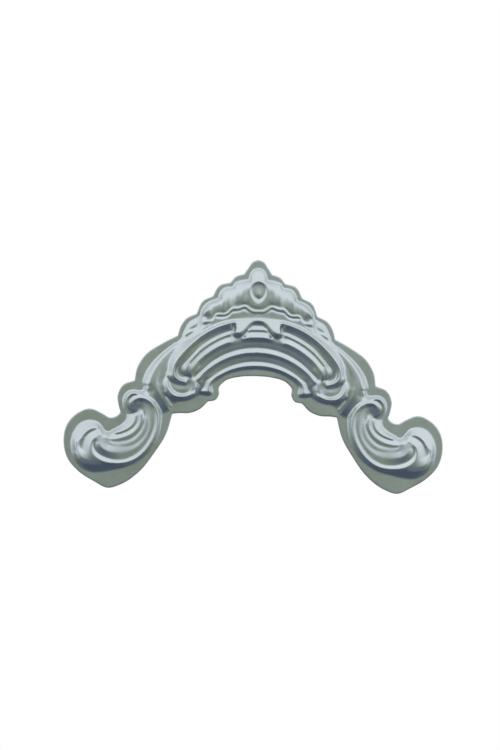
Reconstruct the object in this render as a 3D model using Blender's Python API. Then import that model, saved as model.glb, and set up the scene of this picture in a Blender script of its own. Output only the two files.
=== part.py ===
"""Corner ornament: a thin cast applique with a rocaille arch between two C-scroll lobes, hollow behind."""
import bpy
import numpy as np
from mathutils import Vector
from mathutils.geometry import delaunay_2d_cdt

# Driving sizes, in metres.
WIDTH = 0.200
WALL = 0.0014
MOUNT_UP = -0.0136
OUTLINE_STEP = 0.0026
CENTRE_STEP = 0.0015

# The plan below is drawn in millimetres, 200 wide, with its zero at the middle of the arch.
DRAWN_WIDTH = 200.0
MM = WIDTH / DRAWN_WIDTH
GRID_CELL = 0.25
GRID_REACH = 101.0
GRID_LOW = -77.0
GRID_TOP = 47.0
SOFTNESS = 0.36
BACK_SOFTNESS = 0.9
BACK_GAP = 1.4
FRONT_POINTS = 1560
BACK_POINTS = 380
# In one round, a share of the triangles gets a new point, and at least this many. A new point keeps clear of
# a margin along the triangle's sides.
ADDED_SHARE = 0.25
LEAST_ADDED = 40
MARGIN = 0.08
# How near, in mm, two points touch and when they are the same, and the kind of mesh that keeps its border.
TOUCHING = 1e-4
SAME_POINT = 1e-6
WITH_BORDER = 1
FLANGE = 1.5
CURVE_STEP = 0.15

# Plan lines of the left-right symmetric relief, in mm. Each point is the distance from the centre line and
# the place up the piece. Corner points are repeated where two smooth stretches meet.
OUTLINE = (
    ((0, 45.7), (2.7, 44.7), (5.1, 41.5), (7.4, 38.1)),
    ((7.4, 38.1), (11.4, 36.8), (14.5, 33.5)),
    ((14.5, 33.5), (20.1, 31.8), (23.6, 26.1)),
    ((23.6, 26.1), (28.7, 23.4), (31.9, 16.7)),
    ((31.9, 16.7), (37.2, 14.0), (40.2, 9.6), (41.5, 5.0)),
    ((41.5, 5.0), (50, 0.4), (58.3, -5.6), (62.4, -12.5), (63.6, -19.1)),
    ((63.6, -19.1), (69.5, -21.6), (72.3, -27.5), (71.5, -33), (70.8, -36.2), (72.6, -38), (75.8, -38.9),
     (80, -36.8), (86.5, -34.4), (93.6, -37.3), (98.4, -43), (100, -51.5), (97.5, -61), (91.5, -67.6),
     (83.5, -72.5), (76.3, -75.7), (69.5, -73.7), (60, -66.8), (52.2, -56.6), (46.5, -47), (43.4, -36.2)),
    ((43.4, -36.2), (40, -35.8), (34.5, -35.6), (29.5, -33.7), (24.8, -29.3)),
    ((24.8, -29.3), (21, -28.4), (19.1, -25.3), (19.2, -21.8), (16.3, -18.5), (8.5, -16), (0, -15.4)),
)
FOOT = (
    ((0, 41.2), (2.5, 40.5), (4.0, 38.6), (4.9, 35.0)),
    ((4.9, 35.0), (9.4, 34.5), (11.9, 33.3), (13.3, 31.0)),
    ((13.3, 31.0), (17.2, 30.6), (19.7, 28.6), (20.8, 24.6)),
    ((20.8, 24.6), (24.3, 23.5), (27.0, 22.1), (28.9, 19.6), (30.2, 15.2)),
    ((30.2, 15.2), (32.4, 14.2), (35.4, 12.6), (37.4, 9.9), (38.6, 6.6), (39.4, 3.9)),
    ((39.4, 3.9), (41.6, 1.6), (46.0, -1.6), (51.0, -5.8), (55.6, -10.9), (58.7, -16.2), (59.8, -20.4)),
    ((59.8, -20.4), (58.6, -21.8), (58.7, -23.4), (60.4, -24.7), (63.0, -24.5), (66.2, -24.7),
     (68.7, -26.8), (69.6, -30.2), (69.0, -34), (67.8, -36.8), (67.7, -39.6), (69.5, -41.9), (72.4, -44.0),
     (75.3, -45.7)),
    ((75.3, -45.7), (76.9, -46.6), (78.6, -45.8), (80.0, -43.8), (81.8, -41.7), (84.8, -40.5),
     (88.4, -40.5), (92, -42.2), (95, -46.2), (96.4, -52), (95.4, -58.6), (91.6, -64.2), (86, -67.4),
     (79.5, -67.3), (73, -65.9), (66, -63.9), (60.0, -60.4), (54.0, -54.4), (50.2, -46.8), (49.1, -39.6),
     (48.9, -36.4)),
    ((48.9, -36.4), (46.4, -35.7), (44.4, -33.6), (42.8, -31.0), (40.0, -29.4), (36.2, -28.9),
     (32.6, -27.5), (29.6, -25.7)),
    ((29.6, -25.7), (26.4, -26.0), (23.4, -25.8), (22.3, -24.3), (23.1, -22.0), (22.8, -20.4)),
    ((22.8, -20.4), (21.0, -18.5), (16.0, -15.0), (8.5, -12.4), (0, -11.5)),
)


def arc(top, radius, height, reach, start=0.0, fall=0.0, steps=5):
    """A moulding line round the arch: a circle whose highest point is on the centre line."""
    centre = top - radius
    across = [start + (reach - start) * i / steps for i in range(steps + 1)]
    return tuple((u, centre + (radius**2 - u**2) ** 0.5, height - fall * u / reach) for u in across)


# Crest and valley lines of the relief. The third number is the height over the back plane.
CROWN = {
    "slot_edge": ((0, 16.8, 6.8), (3.2, 16.9, 6.8), (5.6, 17.8, 6.8), (7.1, 18.7, 6.8), (8.8, 18.2, 6.8),
                  (11, 17.6, 6.8), (13.4, 17.2, 6.8), (15.2, 15.8, 6.75), (17.2, 14.7, 6.7),
                  (19.4, 14.4, 6.65), (21.6, 14.3, 6.6)),
    "fourth_edge": ((31.6, 12.6, 2.3), (33.6, 11.6, 2.35), (35.6, 9.8, 2.35), (36.8, 7.9, 2.3)),
    "petal_top": ((0, 40.1, 3.36), (1.6, 39.5, 3.36), (2.9, 37.9, 3.48), (3.6, 35.9, 3.84)),
    "petal": ((0, 37.7, 5.04), (0, 35.3, 6.4)),
    "drop_rim": ((0, 34.3, 6.9), (2.6, 33.6, 6.9), (4.3, 31.4, 6.9), (4.5, 28.8, 6.9), (3.7, 26.2, 6.9),
                 (2.0, 23.8, 6.9), (0, 22.5, 6.9)),
    "drop_wall": ((0, 33.1, 6.25), (2.1, 32.4, 6.25), (3.5, 30.7, 6.25), (3.6, 28.7, 6.3),
                  (2.9, 26.8, 6.3), (1.4, 25.2, 6.15)),
    "drop_floor": ((0, 31.9, 6.2), (0, 30.4, 6.25), (0, 28.6, 6.45), (0, 27.1, 6.6), (0, 25.9, 6.3),
                   (0, 24.9, 5.85), (0, 24.2, 6.1)),
    "skirt": ((0, 20.9, 6.9), (2.6, 21.6, 6.9), (5.2, 24.1, 6.85)),
    "first_top": ((8.0, 31.2, 6.65), (8.1, 28.3, 6.95), (7.9, 25.1, 7), (7.4, 22.9, 6.95)),
    "first_dip": ((6.4, 31.7, 6.4), (6.2, 29.3, 6.7), (6.2, 26.5, 6.8)),
    "first_slope": ((11.6, 32.7, 3.96), (11.6, 29.9, 5.7), (11.7, 27.2, 6.6), (11.4, 23.3, 6.8)),
    "first_gap": ((13.3, 30.1, 3.24), (13.5, 28.1, 5.16), (13.4, 25.4, 6.1), (13.0, 21.9, 6.5)),
    "second_line": ((15.6, 28.9, 5.16), (15.8, 26.3, 6.2), (15.8, 23.6, 6.65), (15.2, 20.5, 6.7)),
    "second_dip": ((16.4, 28.5, 5.04), (16.6, 26.0, 6), (16.5, 23.4, 6.5), (16.0, 20.3, 6.6)),
    "second_top": ((18.4, 26.3, 6), (18.6, 24.1, 6.65), (18.4, 21.3, 6.8), (18.2, 18.5, 6.7)),
    "second_gap": ((20.6, 23.6, 6.0), (21.2, 22.2, 6.25), (21.6, 20.4, 6.35), (21.4, 18.2, 6.4)),
    "third_inner": ((22.6, 22.6, 5.9), (23.0, 20.6, 6.2), (23.0, 17.3, 6.25)),
    "third_line": ((24.2, 22.0, 5.5), (24.2, 20.4, 6.1), (24.1, 16.9, 6.25)),
    "third_top": ((25.4, 19.6, 6.4), (26.8, 18.9, 6.5), (28.2, 17.8, 6.4), (28.8, 15.8, 6.2)),
    "fourth_top": ((32.6, 10.8, 2.65), (34.2, 9.9, 2.65), (35.4, 8.9, 2.6)),
    "lip_valley": ((0, 19.3, 6.65), (2.6, 19.6, 6.65), (5.0, 21.0, 6.6), (7.2, 22.0, 6.5),
                   (9.0, 21.5, 6.5), (10.8, 20.8, 6.5), (13.4, 20.8, 6.5), (15.0, 19.6, 6.45),
                   (16.3, 18.0, 6.4), (18, 17.3, 6.35), (21.0, 17.3, 6.25), (22.8, 16.4, 6.15),
                   (23.7, 14.6, 6.1), (24.8, 13.8, 6.1), (27, 13.4, 6.05), (28.9, 13.3, 5.9),
                   (30.6, 12.2, 3.2), (31.4, 9.8, 2.65), (32.8, 8.8, 2.6), (35, 8.2, 2.55),
                   (37.2, 7.0, 2.5), (38.2, 6.2, 2.4)),
    "lip": ((0, 18.1, 7.15), (3, 18.3, 7.15), (5.3, 19.6, 7.1), (7.1, 20.8, 7.05), (8.8, 20.1, 7.05),
            (10.8, 19.5, 7.05), (13.5, 19.4, 7.0), (15.2, 17.6, 6.95), (17.0, 16.2, 6.85),
            (19.4, 16.1, 6.75), (21.6, 16.0, 6.7), (22.4, 14.5, 6.6), (23.9, 12.8, 6.55),
            (26.4, 12.2, 6.5), (28.6, 12.0, 6.2), (29.9, 10.6, 4.2), (31.6, 8.3, 3.3), (33.8, 7.4, 3.2),
            (35.8, 6.5, 3.15), (37.6, 5.6, 3.1), (38.6, 4.9, 2.9)),
    "slot": ((0, 17.5, 6.75), (3.2, 17.6, 6.75), (5.6, 18.7, 6.5), (7.1, 19.8, 6.3), (8.8, 19.2, 6.4),
             (11, 18.5, 6.4), (13.4, 18.1, 6.35), (15.2, 16.6, 6.25), (17.2, 15.5, 6.0), (19.4, 15.2, 5.9),
             (21.6, 15.1, 5.9)),
    "slot_mid": ((25.2, 11.6, 6.15), (27.2, 11.2, 6.0), (28.6, 10.9, 5.6)),
    "slot_low": ((33.4, 6.6, 3.0), (35.4, 5.6, 2.9), (37.4, 4.6, 2.85), (38.4, 4.0, 2.8)),
    "strip": ((0, 16.0, 6.85), (6, 16.0, 6.8), (12, 15.6, 6.8), (14.4, 14.8, 6.75), (17, 14.1, 6.7),
              (20, 13.5, 6.65), (23, 12.2, 6.55), (26, 10.4, 6.4), (29, 8.7, 5.8), (31, 7.3, 4.8),
              (33, 5.9, 3.8), (36, 4.1, 3.1), (38.5, 2.8, 3.1)),
}
ARCH = {
    "rim_foot": ((0, 15.0, 6.9), (6, 14.7, 6.85), (12, 13.9, 6.8), (16, 12.9, 6.75), (20, 11.8, 6.65),
                 (25, 9.5, 6.5), (30, 6.6, 5.4), (35, 3.6, 3.5), (38.2, 1.7, 3.3), (40.8, -0.5, 3.7),
                 (43.2, -3.5, 4.3), (45.0, -6.7, 4.8), (46.1, -10.2, 5.1), (46.7, -13.8, 5.2),
                 (47.6, -16.6, 5.2)),
    "rim": ((12.2, 12.4, 9.16), (15, 12.0, 9.25), (20, 10.3, 9.4), (25, 7.9, 9.55), (30, 4.7, 9.6),
            (34.6, 0.7, 9.91), (38, -2.8, 9.98), (41, -6.6, 9.8), (43.1, -10.0, 9.4), (43.9, -13.2, 9.1),
            (43.6, -15.4, 8.8), (42.3, -17.3, 8.5), (40.3, -18.7, 8.2), (37.6, -19.4, 7.8)),
    "rim_cove": ((13.9, 9.7, 6.92), (20, 8.0, 6.9), (25, 5.4, 6.95), (30, 2.0, 6.9), (34, -1.9, 7.14),
                 (37.6, -6.5, 7.14), (40.6, -10.6, 6.9), (41.9, -13.4, 6.6), (41.8, -15.4, 6.4),
                 (40.4, -17.0, 6.3), (38.6, -17.8, 6.3), (37.0, -17.9, 6.4)),
    "first_valley_mid": arc(10.7, 46.0, 6.3, 3.6, steps=2, fall=-0.11),
    "first_mid": arc(8.7, 45.6, 7.1, 4.8, steps=2, fall=-0.14),
    "first_groove_mid": arc(7.9, 45.0, 6.6, 5.6, steps=2, fall=-0.17),
    "first_valley": arc(10.3, 46.0, 5.9, 30, start=13.9, fall=-0.9) + ((33.6, -4.7, 6.9),
           (37.2, -8.9, 6.89), (39.9, -11.9, 6.69), (39.9, -14.1, 6.39), (38.4, -15.8, 6.12),
           (35.8, -16.5, 5.84)),
    "first": arc(8.5, 45.6, 6.8, 30, start=13.8, fall=-0.9) + ((33.6, -6.5, 7.8), (36.6, -10.4, 7.9),
           (37.4, -12.8, 7.9), (36.6, -14.7, 7.7)),
    "first_groove": arc(7.6, 45.0, 6.3, 30, start=13.7, fall=-0.9) + ((32.8, -6.9, 7.31),
           (35.4, -9.9, 7.49)),
    "second_mid": arc(4.5, 42.0, 7.9, 6.4, steps=2, fall=-0.19),
    "second": arc(4.4, 42.0, 7.7, 30, start=13.9, fall=-0.4) + ((32.6, -11.4, 8.19), (34.4, -13.8, 8.18),
           (35.1, -15.6, 7.86)),
    "second_wall": arc(3.3, 41.2, 5.9, 30, fall=-0.5) + ((32.1, -13.4, 6.43), (33.6, -15.7, 6.3)),
    "second_hollow": arc(2.2, 40.8, 5.6, 30, fall=-0.5),
    "second_step": arc(1.1, 40.4, 5.5, 30, fall=-0.5),
    "third_valley": arc(-0.6, 39.8, 5.1, 29.6, fall=-0.49) + ((31.6, -15.3, 5.48), (33.0, -17.1, 5.43)),
    "third": arc(-3.4, 39.4, 6.2, 28, fall=-0.44) + ((29.8, -17.5, 6.49), (31.0, -18.5, 6.21)),
    "third_wall": arc(-4.4, 38.6, 4.7, 27.4, fall=-0.52) + ((29.0, -18.5, 4.87),),
    "fourth_hollow": arc(-5.4, 38.0, 4.4, 27, fall=-0.51),
    "fourth_step": arc(-6.5, 37.4, 4.3, 26, fall=-0.48),
    "fourth_valley": arc(-7.9, 36.6, 3.9, 24, fall=-0.72) + ((26.4, -17.9, 4.39), (27.3, -19.9, 4.12),
           (27.6, -21.9, 3.83), (28.6, -23.7, 3.66)),
    "fourth": arc(-10.5, 36.4, 5.2, 18.4, fall=-0.35) + ((21.4, -17.1, 5.54), (23.5, -19.3, 5.5),
           (24.5, -21.4, 5.4), (24.2, -23.2, 5.3), (23.6, -24.5, 5.0)),
    "tab": ((12.2, 12.4, 8.67), (11.5, 11.2, 8.75), (11.4, 9.4, 9.14), (12.0, 7.3, 9.66),
            (10.9, 6.5, 9.83), (9.5, 6.8, 9.69), (8.2, 7.7, 9.45), (6.4, 9.7, 8.79), (4.6, 11.7, 8.14),
            (2.6, 13.1, 7.68), (0, 13.6, 7.5)),
    "tab_foot": ((12.8, 11.2, 5.9), (12.5, 9.2, 5.9), (13.0, 7.2, 5.9), (12.8, 5.4, 6.0), (11.6, 4.6, 6.0),
                 (9.8, 4.6, 6.0), (8.2, 5.7, 6.2), (6.2, 7.9, 6.4), (4.5, 9.9, 6.4), (2.9, 11.2, 6.3),
                 (0, 11.9, 6.3)),
}
LEAF = {
    "shoulder": ((42.4, 0.2, 3.9), (45.0, -2.2, 4.4), (48.2, -5.3, 4.8), (51.2, -8.9, 5.1),
                 (53.6, -12.8, 5.3), (55.4, -16.8, 5.45), (56.3, -20.4, 5.55)),
    "inner": ((44.8, -3.4, 4.5), (47.4, -6.9, 4.95), (49.7, -10.4, 5.2), (51.4, -13.8, 5.4),
              (52.4, -17.0, 5.55), (52.9, -20, 5.65), (52.9, -22.2, 5.65), (51.9, -24.4, 5.6),
              (50.2, -27.0, 5.2), (48.4, -29.6, 4.4), (46.5, -32.4, 3.3), (44.8, -34.8, 2.1)),
    "end": ((58.2, -20.8, 5.0), (56.3, -20.9, 5.4), (54.4, -21.6, 5.5), (52.9, -22.2, 5.65)),
    "end_foot": ((57.5, -22.4, 4.9), (57.5, -23.8, 4.9), (56, -24.0, 4.95), (54.0, -24.6, 5.0)),
    "strip": ((43.8, -3.9, 4.3), (46.2, -7.5, 4.75), (48.4, -11.0, 5.0), (50.0, -14.2, 5.1),
              (51.0, -17.2, 5.2), (51.4, -20.4, 5.25)),
    "valley_out": ((62.6, -25.6, 5.0), (60.2, -26.4, 5.0), (58.4, -26.8, 5.05), (56.4, -27.5, 5.1),
                   (53.8, -29.0, 5.0), (51.9, -31.1, 4.4), (50.3, -33.4, 3.2), (49.0, -35.6, 1.8)),
    "valley_in": ((49.6, -22.6, 5.3), (48.8, -25.2, 5.1), (47.2, -28.4, 4.4), (45.0, -31.4, 3.0),
                  (43.4, -33.2, 1.9)),
}
EYE = {
    "curl_side": ((48.2, -17.4, 5.15), (48.9, -19.6, 5.25), (48.8, -21.6, 5.35), (48.0, -24.0, 5.2)),
    "cheek": ((33.6, -23.2, 6.55), (32.2, -22.4, 6.5), (32.0, -20.4, 6.4), (32.8, -18.6, 6.35)),
    "rim_end": ((46.6, -15.4, 6.6), (45.0, -16.9, 7.4), (43.0, -18.0, 7.8)),
    "slit": ((46.6, -17.1, 5.4), (45.2, -18.9, 5.25), (43, -20.0, 5.3), (40.6, -20.5, 5.4),
             (38.2, -20.8, 5.65)),
    "curl": ((46.9, -17.8, 6.0), (47.3, -19.6, 6.5), (46.9, -22.0, 6.9), (45.3, -24.9, 7.0),
             (42.6, -26.9, 7.1), (39.4, -27.5, 7.2), (36.2, -27.1, 7.3), (33.6, -26.1, 7.3),
             (32.0, -24.9, 7.1)),
    "valley": ((45.8, -19.5, 5.4), (45.2, -21.4, 5.4), (43.5, -23.9, 5.45), (41.2, -25.2, 5.5),
               (38.6, -25.7, 5.6), (36.4, -25.1, 5.8), (35.2, -23.8, 6.1)),
    "inner_curl": ((44.0, -21.8, 5.42), (41.6, -22.9, 5.56), (38.8, -22.8, 5.72), (36.4, -21.6, 5.9),
                   (35.0, -19.8, 6.2), (34.8, -17.8, 6.4)),
    "inner_dip": ((43.4, -21.0, 5.38), (41.4, -22.2, 5.46), (38.8, -22.1, 5.6), (37.0, -21.1, 5.75),
                  (36.1, -19.6, 6.0)),
    "under": ((46.9, -26.8, 4.2), (44.8, -28.6, 3.4), (43.6, -30.0, 2.6)),
    "gap": ((30.3, -24.4, 3.2), (29.7, -22.2, 4.0), (30.0, -19.8, 4.8)),
    "toe": ((28.5, -24.0, 4.5), (27.0, -24.3, 4.9), (25.2, -24.7, 5.1), (23.8, -24.8, 5.0)),
}
LOBE = {
    "bulb_low": ((94.0, -57.8, 4.7), (92.2, -61.0, 5.2), (89.0, -63.4, 5.6), (85.0, -64.0, 5.75),
                 (80.6, -63.8, 5.75)),
    "rim": ((64.0, -29.8, 5.8), (63.0, -28.9, 6.2), (61.3, -28.2, 6.5), (59.2, -28.2, 6.7),
            (56.8, -29.2, 6.8), (54.2, -31.0, 6.8), (52.1, -33.4, 6.8), (50.9, -36.4, 6.8),
            (50.6, -39.6, 6.7), (51.1, -43.6, 6.7), (52.4, -48.0, 6.7), (54.7, -52.6, 6.7),
            (58.0, -57.1, 6.7), (62.1, -60.5, 6.7), (67.2, -62.5, 6.7), (73.0, -62.9, 6.7),
            (78.3, -62.2, 6.8), (82.7, -59.8, 6.8), (85.2, -57.2, 6.8), (85.9, -54.2, 6.8),
            (85.5, -51.8, 6.7), (84.2, -49.7, 6.6), (82.2, -48.2, 6.4), (80.2, -47.5, 6.2)),
    "rim_inner": ((61.2, -30.0, 4.9), (59.0, -30.0, 5.1), (56.6, -31.2, 5.4), (54.6, -33.6, 5.6),
                  (53.2, -36.6, 5.7), (52.8, -39.6, 5.8), (53.3, -43.2, 5.8), (54.6, -47.3, 5.8),
                  (56.7, -51.4, 5.8), (59.9, -55.5, 5.8), (63.8, -58.6, 5.8), (68.3, -60.5, 5.8),
                  (73.2, -60.8, 5.8), (77.5, -59.8, 5.7), (81.1, -58.2, 5.7), (83.5, -55.8, 5.8),
                  (84.2, -53.2, 6.0), (83.6, -51.2, 6.2)),
    "rim_back": ((88.4, -57.2, 5.9), (89.4, -55.4, 5.4), (89.9, -53.4, 5.0), (89.8, -51.4, 4.9),
                 (88.8, -49.0, 4.8), (86.8, -47.1, 4.75), (84.2, -45.8, 4.8), (81.9, -45.6, 4.9),
                 (80.4, -46.2, 5.2)),
    "third": ((60.4, -31.8, 4.7), (58.2, -32.8, 5.0), (56.6, -34.6, 5.35), (55.3, -37.4, 5.7),
              (54.7, -40.6, 5.8), (55.2, -44.6, 5.85), (57.0, -48.6, 5.85), (60.2, -52.6, 5.85),
              (64.2, -55.4, 5.85), (69.2, -56.7, 5.9), (74.4, -57.0, 6.3), (78.0, -56.2, 6.8),
              (80.6, -54.6, 7.1), (82.2, -52.4, 7.0)),
    "third_cove": ((61.2, -33.2, 4.3), (58.9, -34.4, 4.6), (57.2, -37.4, 5.0), (56.4, -41, 5.4),
                   (56.8, -44.6, 5.5), (58.4, -48.0, 5.5), (61.6, -51.6, 5.45), (65.6, -53.4, 5.4),
                   (70.0, -53.8, 5.45), (74.4, -53.6, 5.7), (76.6, -53.0, 5.9)),
    "second": ((57.6, -38.7, 5.2), (57.8, -42.2, 5.4), (59.4, -46.2, 5.45), (62.2, -49.6, 5.45),
               (65.4, -51.6, 5.4), (69, -52.6, 5.4), (72.6, -52.9, 5.5), (75.4, -52.2, 5.8),
               (77.4, -51.2, 6.2)),
    "second_cove": ((58.5, -36.2, 4.4), (58.4, -39.4, 4.9), (59.4, -43.4, 5.0), (61.6, -46.8, 5.0),
                    (65.0, -49.6, 5.0), (68.8, -50.8, 5.0), (72.4, -51.2, 5.15), (75.4, -51.0, 5.5)),
    "first": ((59.5, -36.2, 5.4), (59.3, -38.6, 5.4), (60.2, -41.8, 5.35), (62.2, -44.8, 5.3),
              (65.0, -47.2, 5.3), (68.6, -48.8, 5.3), (72.4, -49.8, 5.4), (75.4, -49.9, 5.8),
              (77.6, -49.0, 6.3)),
    "first_cove": ((61.9, -36.8, 4.4), (61.9, -40, 4.5), (63.4, -43.2, 4.5), (65.9, -45.2, 4.45),
                   (69.2, -46.8, 4.35), (72.6, -47.7, 4.35), (75.2, -47.8, 4.7)),
    "flute": ((63.0, -37.0, 4.5), (63.2, -39.8, 4.65), (64.6, -42.2, 4.75), (67.0, -44.3, 4.8),
              (69.8, -45.6, 4.8), (72.4, -46.4, 4.8), (74.2, -46.6, 4.5)),
    "flute_edge": ((66.9, -37.2, 2.0), (67.1, -39.6, 1.8), (68.4, -41.6, 1.7), (70.6, -43.2, 1.7),
                   (72.6, -44.6, 1.9), (74.2, -45.7, 2.2)),
    "core": ((82.2, -48.8, 6.3), (80.4, -49.4, 6.35), (79.6, -51.6, 6.5)),
    "bay": ((77.4, -48.2, 5.6), (78.9, -47.6, 5.6)),
    "scroll": ((60.6, -26.2, 6.0), (62.2, -25.8, 6.2), (64.4, -25.7, 6.3), (66.3, -26.6, 6.2),
               (67.6, -28.2, 6.0), (68.2, -30.2, 5.6), (68.1, -32.2, 5.1), (67.0, -34.2, 4.4),
               (65.2, -35.2, 4.1), (63.2, -35.3, 4.1), (61.6, -34.6, 4.2)),
    "scroll_cove": ((62.4, -26.7, 5.2), (64.0, -26.9, 4.8), (65.4, -27.8, 4.6), (66.4, -29.2, 4.6),
                    (67.1, -31.2, 4.6), (66.2, -33.2, 4.6), (64.2, -33.8, 4.6), (62.8, -33.0, 4.6)),
    "scroll_bead": ((65.9, -30.4, 5.3), (65.0, -32.0, 5.3)),
    "scroll_foot": ((68.6, -35.2, 2.0), (66.6, -36.3, 2.0), (63.8, -36.5, 3.0), (62.4, -36.3, 4.0)),
    "bulb": ((82.6, -43.9, 4.9), (84.8, -44.4, 5.15), (87.6, -45.8, 5.35), (89.7, -48.0, 5.4),
             (90.9, -50.4, 5.35)),
    "bulb_hollow": ((91.2, -51.6, 5.0), (91.7, -53.0, 4.9), (91.2, -54.8, 4.9), (90.2, -56.0, 5.1)),
    "bulb_ring": ((93.7, -51.0, 5.4), (93.7, -53.8, 5.5), (92.7, -57.0, 5.8), (91.0, -59.6, 6.25),
                  (88.4, -61.0, 6.4), (85.4, -61.6, 6.4)),
}
# Places that swell between their lines: centre, radius and push.
SWELLS = (
    ((81.0, -50.0), 2.6, 0.10),
    ((27.0, 19.6), 3.8, 0.20),
    ((18.4, 26.4), 4.0, 0.20),
    ((0.0, 38.2), 3.4, 0.14),
)
# The relief starts where this share of the softened foot area lies under it, so that the flange stays flat.
FOOT_SPREAD = 0.45
FOOT_SHARE = 0.84
# How the sheet is settled: sweeps on the coarsest grid and on each finer one, and how far each step goes.
COARSEST_SIDE = 24
COARSEST_SWEEPS = 300
SWEEPS = 60
OVER_STEP = 1.85


def smooth_curve(points):
    """A smooth line through hand-placed points, by cubic stretches with averaged slopes."""
    knots = np.array(points, float)
    gaps = np.linalg.norm(np.diff(knots[:, :2], axis=0), axis=1)
    along = np.concatenate([[0.0], np.cumsum(gaps)])
    if len(knots) > 2:
        slopes = np.gradient(knots, along, axis=0)
    else:
        slopes = np.repeat(np.diff(knots, axis=0) / gaps[:, None], 2, axis=0)
    place = np.linspace(0.0, along[-1], int(along[-1] / CURVE_STEP) + 2)
    i = np.clip(np.searchsorted(along, place, side="right") - 1, 0, len(gaps) - 1)
    gap = gaps[i][:, None]
    t = (place - along[i])[:, None] / gap
    return (knots[i] * (2 * t**3 - 3 * t**2 + 1) + slopes[i] * gap * (t**3 - 2 * t**2 + t)
            + knots[i + 1] * (3 * t**2 - 2 * t**3) + slopes[i + 1] * gap * (t**3 - t**2))


def joined(stretches):
    """Smooth stretches that meet at corners, as one line."""
    lines = [smooth_curve(stretch) for stretch in stretches]
    return np.concatenate([line[:-1] for line in lines[:-1]] + [lines[-1]])


def inside(loop, across, up):
    """True where a point of the grid lies inside the closed line."""
    hit = np.zeros(across.shape, bool)
    for (u0, z0), (u1, z1) in zip(loop, np.roll(loop, -1, axis=0)):
        if z0 != z1:
            crossing = (up < z0) != (up < z1)
            hit ^= crossing & (across < u0 + (up - z0) * (u1 - u0) / (z1 - z0))
    return hit


def relax(height, fixed, value, push, rounds):
    """Lets the free cells settle between the fixed ones, as a stretched sheet does."""
    height[fixed] = value[fixed]
    row, column = np.indices(height.shape)
    turns = [((row + column) % 2 == parity) & ~fixed for parity in (0, 1)]
    for _ in range(rounds):
        for turn in turns:
            p = np.pad(height, 1, mode="edge")
            around = 0.25 * (p[:-2, 1:-1] + p[2:, 1:-1] + p[1:-1, :-2] + p[1:-1, 2:] + push)
            height += np.where(turn, OVER_STEP * (around - height), 0.0)
    return height


def pooled(grid):
    """Sums of two-by-two blocks of cells."""
    return grid.reshape(grid.shape[0] // 2, 2, grid.shape[1] // 2, 2).sum(axis=(1, 3))


def membrane(fixed, value, push, cell):
    """A sheet stretched over the fixed cells, settled from coarse cells to fine ones."""
    if min(fixed.shape) < COARSEST_SIDE:
        start = np.full(fixed.shape, value[fixed].mean())
        return relax(start, fixed, value, push * cell**2, COARSEST_SWEEPS)
    rows, columns = fixed.shape
    extra = ((0, rows % 2), (0, columns % 2))
    held = pooled(np.pad(fixed, extra).astype(float))
    mean = pooled(np.pad(np.where(fixed, value, 0.0), extra)) / np.maximum(held, 1.0)
    load = pooled(np.pad(push, extra, mode="edge")) / 4.0
    coarse = membrane(held > 0, mean, load, cell * 2)
    start = np.repeat(np.repeat(coarse, 2, 0), 2, 1)[:rows, :columns].copy()
    return relax(start, fixed, value, push * cell**2, SWEEPS)


def blurred(grid, spread):
    """A grid softened over a spread of cells."""
    reach = int(np.ceil(3 * spread))
    weights = np.exp(-0.5 * (np.arange(-reach, reach + 1) / spread) ** 2)
    weights /= weights.sum()
    for axis in (0, 1):
        border = [(reach, reach) if a == axis else (0, 0) for a in (0, 1)]
        padded = np.pad(grid, border, mode="symmetric")
        size = grid.shape[axis]
        grid = sum(w * np.take(padded, np.arange(i, i + size), axis=axis) for i, w in enumerate(weights))
    return grid


def closed_loop(stretches):
    """The outline of the right half, closed just past the centre line."""
    line = joined(stretches)
    return np.concatenate([line, [[-1.0, line[-1, 1]], [-1.0, line[0, 1]]]])


def relief_grid(cell, softness):
    """Heights of the front over the back plane, on a grid of the right half."""
    us = np.arange(0.5 * cell, GRID_REACH, cell)
    zs = np.arange(GRID_LOW, GRID_TOP, cell)
    across, up = np.meshgrid(us, zs)
    total = np.zeros(across.shape)
    count = np.zeros(across.shape)

    def pin(line):
        i = np.rint((line[:, 0] - us[0]) / cell).astype(int)
        j = np.rint((line[:, 1] - zs[0]) / cell).astype(int)
        on = (i >= 0) & (i < len(us)) & (j >= 0) & (j < len(zs))
        np.add.at(total, (j[on], i[on]), line[on, 2])
        np.add.at(count, (j[on], i[on]), 1.0)

    for group in (CROWN, ARCH, LEAF, EYE, LOBE):
        for points in group.values():
            pin(smooth_curve(points))
    within = inside(closed_loop(OUTLINE), across, up)
    raised = inside(closed_loop(FOOT), across, up).astype(float)
    flange = blurred(raised, FOOT_SPREAD / cell) < FOOT_SHARE
    fixed = (count > 0) & ~flange
    value = np.where(fixed, total / np.maximum(count, 1.0), FLANGE)
    fixed |= flange
    push = np.zeros(across.shape)
    for (u, z), radius, amount in SWELLS:
        push[(across - u) ** 2 + (up - z) ** 2 < radius**2] = amount
    height = membrane(fixed, value, push, cell)
    return us, zs, blurred(height, softness / cell), within


def lowest_near(grid, reach):
    """The lowest height within a reach of cells, taken along each axis in turn."""
    for axis in (0, 1):
        border = [(reach, reach) if a == axis else (0, 0) for a in (0, 1)]
        padded = np.pad(grid, border, mode="edge")
        size = grid.shape[axis]
        shifts = [np.take(padded, np.arange(i, i + size), axis=axis) for i in range(2 * reach + 1)]
        grid = np.minimum.reduce(shifts)
    return grid


def back_grid(front, within):
    """Heights of the hollow back: flat behind the flange and a wall's thickness under the relief."""
    gap = BACK_GAP / GRID_CELL
    floor = lowest_near(np.where(within, front, FLANGE), int(round(gap)))
    soft = blurred(floor, BACK_SOFTNESS / GRID_CELL)
    return np.maximum(soft - WALL / MM, 0.0)


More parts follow.
